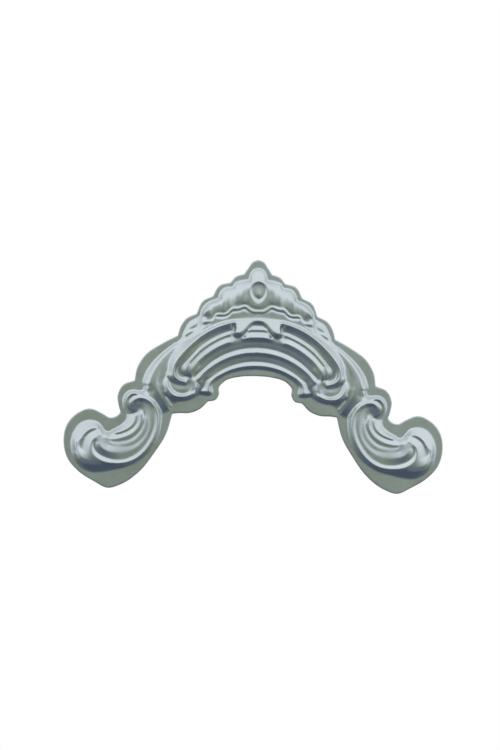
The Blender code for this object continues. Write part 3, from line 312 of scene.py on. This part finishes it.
LOBE = {
    "bulb_low": ((94.0, -57.8, 4.7), (92.2, -61.0, 5.2), (89.0, -63.4, 5.6), (85.0, -64.0, 5.75),
                 (80.6, -63.8, 5.75)),
    "rim": ((64.0, -29.8, 5.8), (63.0, -28.9, 6.2), (61.3, -28.2, 6.5), (59.2, -28.2, 6.7),
            (56.8, -29.2, 6.8), (54.2, -31.0, 6.8), (52.1, -33.4, 6.8), (50.9, -36.4, 6.8),
            (50.6, -39.6, 6.7), (51.1, -43.6, 6.7), (52.4, -48.0, 6.7), (54.7, -52.6, 6.7),
            (58.0, -57.1, 6.7), (62.1, -60.5, 6.7), (67.2, -62.5, 6.7), (73.0, -62.9, 6.7),
            (78.3, -62.2, 6.8), (82.7, -59.8, 6.8), (85.2, -57.2, 6.8), (85.9, -54.2, 6.8),
            (85.5, -51.8, 6.7), (84.2, -49.7, 6.6), (82.2, -48.2, 6.4), (80.2, -47.5, 6.2)),
    "rim_inner": ((61.2, -30.0, 4.9), (59.0, -30.0, 5.1), (56.6, -31.2, 5.4), (54.6, -33.6, 5.6),
                  (53.2, -36.6, 5.7), (52.8, -39.6, 5.8), (53.3, -43.2, 5.8), (54.6, -47.3, 5.8),
                  (56.7, -51.4, 5.8), (59.9, -55.5, 5.8), (63.8, -58.6, 5.8), (68.3, -60.5, 5.8),
                  (73.2, -60.8, 5.8), (77.5, -59.8, 5.7), (81.1, -58.2, 5.7), (83.5, -55.8, 5.8),
                  (84.2, -53.2, 6.0), (83.6, -51.2, 6.2)),
    "rim_back": ((88.4, -57.2, 5.9), (89.4, -55.4, 5.4), (89.9, -53.4, 5.0), (89.8, -51.4, 4.9),
                 (88.8, -49.0, 4.8), (86.8, -47.1, 4.75), (84.2, -45.8, 4.8), (81.9, -45.6, 4.9),
                 (80.4, -46.2, 5.2)),
    "third": ((60.4, -31.8, 4.7), (58.2, -32.8, 5.0), (56.6, -34.6, 5.35), (55.3, -37.4, 5.7),
              (54.7, -40.6, 5.8), (55.2, -44.6, 5.85), (57.0, -48.6, 5.85), (60.2, -52.6, 5.85),
              (64.2, -55.4, 5.85), (69.2, -56.7, 5.9), (74.4, -57.0, 6.3), (78.0, -56.2, 6.8),
              (80.6, -54.6, 7.1), (82.2, -52.4, 7.0)),
    "third_cove": ((61.2, -33.2, 4.3), (58.9, -34.4, 4.6), (57.2, -37.4, 5.0), (56.4, -41, 5.4),
                   (56.8, -44.6, 5.5), (58.4, -48.0, 5.5), (61.6, -51.6, 5.45), (65.6, -53.4, 5.4),
                   (70.0, -53.8, 5.45), (74.4, -53.6, 5.7), (76.6, -53.0, 5.9)),
    "second": ((57.6, -38.7, 5.2), (57.8, -42.2, 5.4), (59.4, -46.2, 5.45), (62.2, -49.6, 5.45),
               (65.4, -51.6, 5.4), (69, -52.6, 5.4), (72.6, -52.9, 5.5), (75.4, -52.2, 5.8),
               (77.4, -51.2, 6.2)),
    "second_cove": ((58.5, -36.2, 4.4), (58.4, -39.4, 4.9), (59.4, -43.4, 5.0), (61.6, -46.8, 5.0),
                    (65.0, -49.6, 5.0), (68.8, -50.8, 5.0), (72.4, -51.2, 5.15), (75.4, -51.0, 5.5)),
    "first": ((59.5, -36.2, 5.4), (59.3, -38.6, 5.4), (60.2, -41.8, 5.35), (62.2, -44.8, 5.3),
              (65.0, -47.2, 5.3), (68.6, -48.8, 5.3), (72.4, -49.8, 5.4), (75.4, -49.9, 5.8),
              (77.6, -49.0, 6.3)),
    "first_cove": ((61.9, -36.8, 4.4), (61.9, -40, 4.5), (63.4, -43.2, 4.5), (65.9, -45.2, 4.45),
                   (69.2, -46.8, 4.35), (72.6, -47.7, 4.35), (75.2, -47.8, 4.7)),
    "flute": ((63.0, -37.0, 4.5), (63.2, -39.8, 4.65), (64.6, -42.2, 4.75), (67.0, -44.3, 4.8),
              (69.8, -45.6, 4.8), (72.4, -46.4, 4.8), (74.2, -46.6, 4.5)),
    "flute_edge": ((66.9, -37.2, 2.0), (67.1, -39.6, 1.8), (68.4, -41.6, 1.7), (70.6, -43.2, 1.7),
                   (72.6, -44.6, 1.9), (74.2, -45.7, 2.2)),
    "core": ((82.2, -48.8, 6.3), (80.4, -49.4, 6.35), (79.6, -51.6, 6.5)),
    "bay": ((77.4, -48.2, 5.6), (78.9, -47.6, 5.6)),
    "scroll": ((60.6, -26.2, 6.0), (62.2, -25.8, 6.2), (64.4, -25.7, 6.3), (66.3, -26.6, 6.2),
               (67.6, -28.2, 6.0), (68.2, -30.2, 5.6), (68.1, -32.2, 5.1), (67.0, -34.2, 4.4),
               (65.2, -35.2, 4.1), (63.2, -35.3, 4.1), (61.6, -34.6, 4.2)),
    "scroll_cove": ((62.4, -26.7, 5.2), (64.0, -26.9, 4.8), (65.4, -27.8, 4.6), (66.4, -29.2, 4.6),
                    (67.1, -31.2, 4.6), (66.2, -33.2, 4.6), (64.2, -33.8, 4.6), (62.8, -33.0, 4.6)),
    "scroll_bead": ((65.9, -30.4, 5.3), (65.0, -32.0, 5.3)),
    "scroll_foot": ((68.6, -35.2, 2.0), (66.6, -36.3, 2.0), (63.8, -36.5, 3.0), (62.4, -36.3, 4.0)),
    "bulb": ((82.6, -43.9, 4.9), (84.8, -44.4, 5.15), (87.6, -45.8, 5.35), (89.7, -48.0, 5.4),
             (90.9, -50.4, 5.35)),
    "bulb_hollow": ((91.2, -51.6, 5.0), (91.7, -53.0, 4.9), (91.2, -54.8, 4.9), (90.2, -56.0, 5.1)),
    "bulb_ring": ((93.7, -51.0, 5.4), (93.7, -53.8, 5.5), (92.7, -57.0, 5.8), (91.0, -59.6, 6.25),
                  (88.4, -61.0, 6.4), (85.4, -61.6, 6.4)),
}
# Places that swell between their lines: centre, radius and push.
SWELLS = (
    ((81.0, -50.0), 2.6, 0.10),
    ((27.0, 19.6), 3.8, 0.20),
    ((18.4, 26.4), 4.0, 0.20),
    ((0.0, 38.2), 3.4, 0.14),
)
# The flange stays flat up to the foot of the relief: how far the area inside the foot is softened, in mm,
# and the share of it where the relief starts.
FOOT_SPREAD = 0.45
FOOT_SHARE = 0.84
# How the sheet settles: the side in cells of the coarsest grid, the sweeps on it and on each finer grid, and
# how far each step goes past the mean of the cells around.
COARSEST_SIDE = 24
COARSEST_SWEEPS = 300
SWEEPS = 60
OVER_STEP = 1.85


def smooth_curve(points):
    """A smooth line through listed points, by cubic stretches with averaged slopes."""
    knots = np.array(points, float)
    gaps = np.linalg.norm(np.diff(knots[:, :2], axis=0), axis=1)
    along = np.concatenate([[0.0], np.cumsum(gaps)])
    if len(knots) > 2:
        slopes = np.gradient(knots, along, axis=0)
    else:
        slopes = np.repeat(np.diff(knots, axis=0) / gaps[:, None], 2, axis=0)
    place = np.linspace(0.0, along[-1], int(along[-1] / CURVE_STEP) + 2)
    i = np.clip(np.searchsorted(along, place, side="right") - 1, 0, len(gaps) - 1)
    gap = gaps[i][:, None]
    t = (place - along[i])[:, None] / gap
    return (knots[i] * (2 * t**3 - 3 * t**2 + 1) + slopes[i] * gap * (t**3 - 2 * t**2 + t)
            + knots[i + 1] * (3 * t**2 - 2 * t**3) + slopes[i + 1] * gap * (t**3 - t**2))


def joined(stretches):
    """Smooth stretches that meet at corners, as one line."""
    lines = [smooth_curve(stretch) for stretch in stretches]
    return np.concatenate([line[:-1] for line in lines[:-1]] + [lines[-1]])


def inside(loop, across, up):
    """True where a point of the grid lies inside the closed line."""
    hit = np.zeros(across.shape, bool)
    for (u0, z0), (u1, z1) in zip(loop, np.roll(loop, -1, axis=0)):
        if z0 != z1:
            crossing = (up < z0) != (up < z1)
            hit ^= crossing & (across < u0 + (up - z0) * (u1 - u0) / (z1 - z0))
    return hit


def relax(height, fixed, value, push, rounds):
    """Lets the free cells settle between the fixed ones, as a stretched sheet does."""
    height[fixed] = value[fixed]
    row, column = np.indices(height.shape)
    turns = [((row + column) % 2 == parity) & ~fixed for parity in (0, 1)]
    for _ in range(rounds):
        for turn in turns:
            p = np.pad(height, 1, mode="edge")
            around = 0.25 * (p[:-2, 1:-1] + p[2:, 1:-1] + p[1:-1, :-2] + p[1:-1, 2:] + push)
            height += np.where(turn, OVER_STEP * (around - height), 0.0)
    return height


def pooled(grid):
    """Sums of two-by-two blocks of cells."""
    return grid.reshape(grid.shape[0] // 2, 2, grid.shape[1] // 2, 2).sum(axis=(1, 3))


def membrane(fixed, value, push, cell):
    """A sheet stretched over the fixed cells, settled from coarse cells to fine ones."""
    if min(fixed.shape) < COARSEST_SIDE:
        start = np.full(fixed.shape, value[fixed].mean())
        return relax(start, fixed, value, push * cell**2, COARSEST_SWEEPS)
    rows, columns = fixed.shape
    extra = ((0, rows % 2), (0, columns % 2))
    held = pooled(np.pad(fixed, extra).astype(float))
    mean = pooled(np.pad(np.where(fixed, value, 0.0), extra)) / np.maximum(held, 1.0)
    load = pooled(np.pad(push, extra, mode="edge")) / 4.0
    coarse = membrane(held > 0, mean, load, cell * 2)
    start = np.repeat(np.repeat(coarse, 2, 0), 2, 1)[:rows, :columns].copy()
    return relax(start, fixed, value, push * cell**2, SWEEPS)


def blurred(grid, spread):
    """A grid softened over a spread of cells."""
    reach = int(np.ceil(3 * spread))
    weights = np.exp(-0.5 * (np.arange(-reach, reach + 1) / spread) ** 2)
    weights /= weights.sum()
    for axis in (0, 1):
        border = [(reach, reach) if a == axis else (0, 0) for a in (0, 1)]
        padded = np.pad(grid, border, mode="symmetric")
        size = grid.shape[axis]
        grid = sum(w * np.take(padded, np.arange(i, i + size), axis=axis) for i, w in enumerate(weights))
    return grid


def closed_loop(stretches):
    """A plan line of the right half, closed just past the centre line."""
    line = joined(stretches)
    return np.concatenate([line, [[-1.0, line[-1, 1]], [-1.0, line[0, 1]]]])


def relief_grid(cell, softness):
    """Heights of the front over the back plane, on a grid of the right half."""
    us = np.arange(0.5 * cell, GRID_REACH, cell)
    zs = np.arange(GRID_LOW, GRID_TOP, cell)
    across, up = np.meshgrid(us, zs)
    total = np.zeros(across.shape)
    count = np.zeros(across.shape)

    def pin(line):
        i = np.rint((line[:, 0] - us[0]) / cell).astype(int)
        j = np.rint((line[:, 1] - zs[0]) / cell).astype(int)
        on = (i >= 0) & (i < len(us)) & (j >= 0) & (j < len(zs))
        np.add.at(total, (j[on], i[on]), line[on, 2])
        np.add.at(count, (j[on], i[on]), 1.0)

    for group in (CROWN, ARCH, LEAF, EYE, LOBE):
        for points in group.values():
            pin(smooth_curve(points))
    within = inside(closed_loop(OUTLINE), across, up)
    raised = inside(closed_loop(FOOT), across, up).astype(float)
    flange = blurred(raised, FOOT_SPREAD / cell) < FOOT_SHARE
    fixed = (count > 0) & ~flange
    value = np.where(fixed, total / np.maximum(count, 1.0), FLANGE)
    fixed |= flange
    push = np.zeros(across.shape)
    for (u, z), radius, amount in SWELLS:
        push[(across - u) ** 2 + (up - z) ** 2 < radius**2] = amount
    height = membrane(fixed, value, push, cell)
    return us, zs, blurred(height, softness / cell), within


def lowest_near(grid, reach):
    """The lowest height within a reach of cells, taken along each axis in turn."""
    for axis in (0, 1):
        border = [(reach, reach) if a == axis else (0, 0) for a in (0, 1)]
        padded = np.pad(grid, border, mode="edge")
        size = grid.shape[axis]
        shifts = [np.take(padded, np.arange(i, i + size), axis=axis) for i in range(2 * reach + 1)]
        grid = np.minimum.reduce(shifts)
    return grid


def back_grid(front, within):
    """Heights of the hollow back: flat behind the flange and a wall's thickness under the relief."""
    gap = int(round(BACK_GAP / GRID_CELL))
    floor = lowest_near(np.where(within, front, FLANGE), gap)
    soft = blurred(floor, BACK_SOFTNESS / GRID_CELL)
    return np.maximum(soft - WALL, 0.0)


def read_grid(us, zs, grid, points):
    """Heights at points, between the four cells round each."""
    a = np.clip((points[:, 0] - us[0]) / GRID_CELL, 0, len(us) - 1 - TOUCHING)
    b = np.clip((points[:, 1] - zs[0]) / GRID_CELL, 0, len(zs) - 1 - TOUCHING)
    i = a.astype(int)
    j = b.astype(int)
    s = a - i
    t = b - j
    low = grid[j, i] * (1 - s) + grid[j, i + 1] * s
    high = grid[j + 1, i] * (1 - s) + grid[j + 1, i + 1] * s
    return low * (1 - t) + high * t


def spaced(line, step):
    """Points at even steps along a line, with both its ends."""
    gaps = np.linalg.norm(np.diff(line[:, :2], axis=0), axis=1)
    along = np.concatenate([[0.0], np.cumsum(gaps)])
    count = max(2, int(round(along[-1] / step)) + 1)
    place = np.linspace(0.0, along[-1], count)
    return np.column_stack([np.interp(place, along, line[:, k]) for k in (0, 1)])


def plan_line(stretches, step):
    """A line of the plan from the top of the centre line round to its foot, at even steps."""
    lines = [spaced(smooth_curve(stretch), step) for stretch in stretches]
    line = np.concatenate([part[:-1] for part in lines[:-1]] + [lines[-1]])
    line[[0, -1], 0] = 0.0
    return line


def set_in(line, distance):
    """A line of the plan moved towards the inside."""
    along = np.gradient(line, axis=0)
    along /= np.linalg.norm(along, axis=1)[:, None]
    return line + np.column_stack([along[:, 1], -along[:, 0]]) * distance


def edge_ring(outline, inset):
    """The outline moved in by an inset, with its ends kept on the centre line."""
    ring = set_in(outline, inset)
    ring[[0, -1], 0] = 0.0
    return ring


def hex_points(step, keep_in):
    """Points of an even triangular net over the right half that keep_in accepts."""
    rows = np.arange(GRID_LOW, GRID_TOP, step * ROW_SHARE)
    columns = np.arange(step, GRID_REACH, step)
    across, up = np.meshgrid(columns, rows)
    across[::2] -= 0.5 * step
    points = np.column_stack([across.ravel(), up.ravel()])
    return points[keep_in(points)]


def half_surface(us, zs, grid, within, rim, step):
    """Points, triangles and heights of the right half of one face, inside the rim line."""
    depth = blurred(within.astype(float), RIM_SPREAD / GRID_CELL)

    def clear_of_rim(points):
        return read_grid(us, zs, depth, points) > RIM_SHARE

    middle = spaced(np.array([rim[-1], rim[0]]), step)[1:-1]
    border = np.concatenate([rim, middle])
    points = np.concatenate([border, hex_points(step, clear_of_rim)])
    edges = [(i, (i + 1) % len(border)) for i in range(len(border))]
    plan = [Vector(point) for point in points]
    verts, _, faces, _, _, _ = delaunay_2d_cdt(plan, edges, [], WITH_BORDER, SAME_POINT)
    verts = np.array([tuple(vert) for vert in verts])
    return verts, np.array(faces), read_grid(us, zs, grid, verts)


def mirrored(points, heights, blocks, count):
    """Adds points and their mirror images. Gives their places right and left, and the new count."""
    own = points[:, 0] >= TOUCHING
    right = count + np.arange(len(points))
    left = right.copy()
    left[own] = count + len(points) + np.arange(own.sum())
    solid = np.column_stack([points[:, 0], -heights, points[:, 1]])
    blocks += [solid, solid[own] * (-1, 1, 1)]
    return right, left, count + len(points) + own.sum()


def edge_band(near, far, turned):
    """Triangles between two neighbouring rings of the flange edge."""
    a, b, c, d = near[:-1], near[1:], far[1:], far[:-1]
    if turned:
        a, b, c, d = d, c, b, a
    return [np.column_stack([a, b, c]), np.column_stack([a, c, d])]


def shell_mesh():
    """The closed piece: fine front, plain hollow back and a rounded flange edge."""
    us, zs, front, within = relief_grid(GRID_CELL, SOFTNESS)
    back = back_grid(front, within)
    outline = plan_line(OUTLINE, RIM_STEP)
    rings = [(edge_ring(outline, inset), height) for inset, height in EDGE_PROFILE]
    blocks = []
    triangles = []
    count = 0
    ends = []
    sides = ((front, rings[0], FRONT_STEP, 1), (back, rings[-1], BACK_STEP, -1))
    for grid, (ring, level), step, outward in sides:
        points, faces, heights = half_surface(us, zs, grid, within, ring, step)
        heights[:len(outline)] = level
        right, left, count = mirrored(points, heights, blocks, count)
        triangles += [right[faces[:, ::outward]], left[faces[:, ::-outward]]]
        ends.append((right[:len(outline)], left[:len(outline)]))
    chain = [ends[0]]
    for ring, level in rings[1:-1]:
        right, left, count = mirrored(ring, np.full(len(ring), level), blocks, count)
        chain.append((right, left))
    chain.append(ends[1])
    for near, far in zip(chain, chain[1:]):
        triangles += edge_band(near[0], far[0], False)
        triangles += edge_band(near[1], far[1], True)
    verts = np.concatenate(blocks) * MM - (0.0, 0.0, MOUNT_UP)
    return verts, np.concatenate(triangles)


def relief_piece():
    """The applique's visible mesh, in place of the faceted solid."""
    verts, faces = shell_mesh()
    mesh = bpy.data.meshes.new("ornament_relief")
    mesh.from_pydata(verts.tolist(), [], faces.tolist())
    mesh.validate()
    mesh.polygons.foreach_set("use_smooth", [True] * len(mesh.polygons))
    piece = bpy.data.objects.new("ornament_relief", mesh)
    bpy.context.scene.collection.objects.link(piece)
    return piece


def linked(tree, source, output, target, entry):
    """Joins an output of one node to an entry of another."""
    tree.links.new(source.outputs[output], target.inputs[entry])


def noise(tree, place, kind):
    """A fractal noise that reads the piece's own coordinates."""
    scale, detail, roughness = kind
    node = tree.nodes.new("ShaderNodeTexNoise")
    node.inputs["Scale"].default_value = scale
    node.inputs["Detail"].default_value = detail
    node.inputs["Roughness"].default_value = roughness
    linked(tree, place, "Object", node, "Vector")
    return node


def slow_tone(tree, place, shader):
    """Lighter and darker patches in the metal's colour."""
    cloud = noise(tree, place, TONE_NOISE)
    tone = tree.nodes.new("ShaderNodeValToRGB")
    ends = ((NOISE_LOW, METAL_DARK), (NOISE_HIGH, METAL_LIGHT))
    for stop, (at, colour) in zip(tone.color_ramp.elements, ends):
        stop.position = at
        stop.color = (*colour, 1.0)
    linked(tree, cloud, "Fac", tone, "Fac")
    linked(tree, tone, "Color", shader, "Base Color")


def slow_gloss(tree, place, shader):
    """Patches of more and less gloss."""
    haze = noise(tree, place, GLOSS_NOISE)
    gloss = tree.nodes.new("ShaderNodeMapRange")
    gloss.inputs["From Min"].default_value = NOISE_LOW
    gloss.inputs["From Max"].default_value = NOISE_HIGH
    gloss.inputs["To Min"].default_value = ROUGH_LOW
    gloss.inputs["To Max"].default_value = ROUGH_HIGH
    linked(tree, haze, "Fac", gloss, "Value")
    linked(tree, gloss, "Result", shader, "Roughness")


def bump(tree, source, size):
    """Raises the surface by a noise."""
    strength, depth = size
    node = tree.nodes.new("ShaderNodeBump")
    node.inputs["Strength"].default_value = strength
    node.inputs["Distance"].default_value = depth
    linked(tree, source, "Fac", node, "Height")
    return node


def satin_metal():
    """Satin silver-grey metal: fine grain, slow tone and gloss changes, and a faint cast unevenness."""
    material = bpy.data.materials.new("satin_metal")
    material.use_nodes = True
    tree = material.node_tree
    shader = tree.nodes["Principled BSDF"]
    shader.inputs["Metallic"].default_value = 1.0
    place = tree.nodes.new("ShaderNodeTexCoord")
    slow_tone(tree, place, shader)
    slow_gloss(tree, place, shader)
    fine = bump(tree, noise(tree, place, GRAIN_NOISE), GRAIN_BUMP)
    low = bump(tree, noise(tree, place, WAVE_NOISE), WAVE_BUMP)
    linked(tree, low, "Normal", fine, "Normal")
    linked(tree, fine, "Normal", shader, "Normal")
    return material


def worked(tree, operation, first, second):
    """A calculation with two entries, each a number or the output of a node."""
    node = tree.nodes.new("ShaderNodeMath")
    node.operation = operation
    for entry, value in zip(node.inputs, (first, second)):
        if isinstance(value, float):
            entry.default_value = value
        else:
            tree.links.new(value, entry)
    return node.outputs["Value"]


def studio_level(tree):
    """The light's level by direction: high above and at the sides, low underneath and behind."""
    place = tree.nodes.new("ShaderNodeTexCoord")
    split = tree.nodes.new("ShaderNodeSeparateXYZ")
    linked(tree, place, "Generated", split, "Vector")
    outward = worked(tree, "ABSOLUTE", split.outputs["X"], 0.0)
    rear = worked(tree, "MAXIMUM", split.outputs["Y"], 0.0)
    aside = worked(tree, "MULTIPLY", outward, SIDE_SHARE)
    rise = worked(tree, "MULTIPLY", split.outputs["Z"], UP_SHARE)
    behind = worked(tree, "MULTIPLY", rear, BEHIND_SHARE)
    return worked(tree, "SUBTRACT", worked(tree, "ADD", aside, rise), behind)


def sky_ramp(tree, level):
    """The studio's colour at a level."""
    ramp = tree.nodes.new("ShaderNodeValToRGB")
    share = worked(tree, "MULTIPLY", worked(tree, "ADD", level, 1.0), 0.5)
    tree.links.new(share, ramp.inputs["Fac"])
    stops = ramp.color_ramp.elements
    stops.remove(stops[1])
    stops[0].color = (*SKY[0][1], 1.0)
    for at, colour in SKY[1:]:
        stops.new(0.5 + 0.5 * at).color = (*colour, 1.0)
    return ramp


def studio_world():
    """Soft studio light, bright from above and the sides, that the camera itself sees as plain white."""
    world = bpy.data.worlds.new("studio")
    bpy.context.scene.world = world
    world.use_nodes = True
    tree = world.node_tree
    tree.nodes.clear()
    glow = tree.nodes.new("ShaderNodeBackground")
    linked(tree, sky_ramp(tree, studio_level(tree)), "Color", glow, "Color")
    plain = tree.nodes.new("ShaderNodeBackground")
    plain.inputs["Color"].default_value = (*WHITE, 1.0)
    path = tree.nodes.new("ShaderNodeLightPath")
    choose = tree.nodes.new("ShaderNodeMixShader")
    linked(tree, path, "Is Camera Ray", choose, "Fac")
    linked(tree, glow, "Background", choose, 1)
    linked(tree, plain, "Background", choose, 2)
    out = tree.nodes.new("ShaderNodeOutputWorld")
    linked(tree, choose, "Shader", out, "Surface")


def soft_box():
    """A soft box above the camera that lights the top of the piece a little more than its lobes."""
    light = bpy.data.lights.new("soft_box", "AREA")
    light.shape = "RECTANGLE"
    light.size = SOFTBOX_WIDTH
    light.size_y = SOFTBOX_HEIGHT
    light.energy = SOFTBOX_WATTS
    light.color = SOFTBOX_COLOUR
    box = bpy.data.objects.new("soft_box", light)
    box.location = SOFTBOX_PLACE
    box.rotation_euler = (SOFTBOX_TILT, 0.0, 0.0)
    bpy.context.scene.collection.objects.link(box)


def floor_paint():
    """The floor's plain pale material."""
    material = bpy.data.materials.new("pale_floor")
    material.use_nodes = True
    shader = material.node_tree.nodes["Principled BSDF"]
    shader.inputs["Base Color"].default_value = (*FLOOR_COLOUR, 1.0)
    shader.inputs["Roughness"].default_value = FLOOR_ROUGHNESS
    return material


def pale_floor():
    """A round pale floor well below the piece, out of the photograph's frame."""
    mesh = bpy.data.meshes.new("floor")
    turns = [radians(360 * k / FLOOR_CORNERS) for k in range(FLOOR_CORNERS)]
    ring = [(FLOOR_RADIUS * cos(turn), FLOOR_RADIUS * sin(turn), -FLOOR_DEPTH) for turn in turns]
    mesh.from_pydata(ring, [], [list(range(FLOOR_CORNERS))])
    mesh.materials.append(floor_paint())
    floor = bpy.data.objects.new("floor", mesh)
    bpy.context.scene.collection.objects.link(floor)
    floor.visible_glossy = False


def photo_camera():
    """A long lens a little to the left of straight in front, rolled as the photograph is."""
    across = (0.5 * FRAME_WIDTH - ZERO_ACROSS) * PIXEL
    down = (0.5 * FRAME_HEIGHT - ZERO_DOWN) * PIXEL
    aim_u = across * cos(TILT) + down * sin(TILT)
    aim_z = across * sin(TILT) - down * cos(TILT)
    aim = Vector((aim_u * MM / cos(CAMERA_AZIMUTH), 0.0, aim_z * MM - MOUNT_UP))
    back = Vector((sin(CAMERA_AZIMUTH), -cos(CAMERA_AZIMUTH), 0.0))
    level = Vector((cos(CAMERA_AZIMUTH), sin(CAMERA_AZIMUTH), 0.0))
    rise = Vector((0.0, 0.0, 1.0))
    right = level * cos(TILT) + rise * sin(TILT)
    top = rise * cos(TILT) - level * sin(TILT)
    data = bpy.data.cameras.new("camera")
    data.sensor_fit = "VERTICAL"
    data.angle = 2.0 * atan(0.5 * FRAME_HEIGHT * PIXEL * MM / CAMERA_DISTANCE)
    data.clip_start = CAMERA_NEAR
    camera = bpy.data.objects.new("camera", data)
    bpy.context.scene.collection.objects.link(camera)
    turn = Matrix((right, top, back)).transposed().to_4x4()
    camera.matrix_world = Matrix.Translation(aim + back * CAMERA_DISTANCE) @ turn
    bpy.context.scene.camera = camera


def main():
    photo_camera()
    studio_world()
    soft_box()
    pale_floor()
    metal = satin_metal()
    piece = relief_piece()
    piece.data.materials.append(metal)
    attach(piece, "root")
    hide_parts("corner_ornament")
    solid = bpy.data.objects["corner_ornament"]
    for entry in solid.material_slots:
        entry.material = metal
    bpy.context.scene.view_settings.view_transform = "Standard"


main()
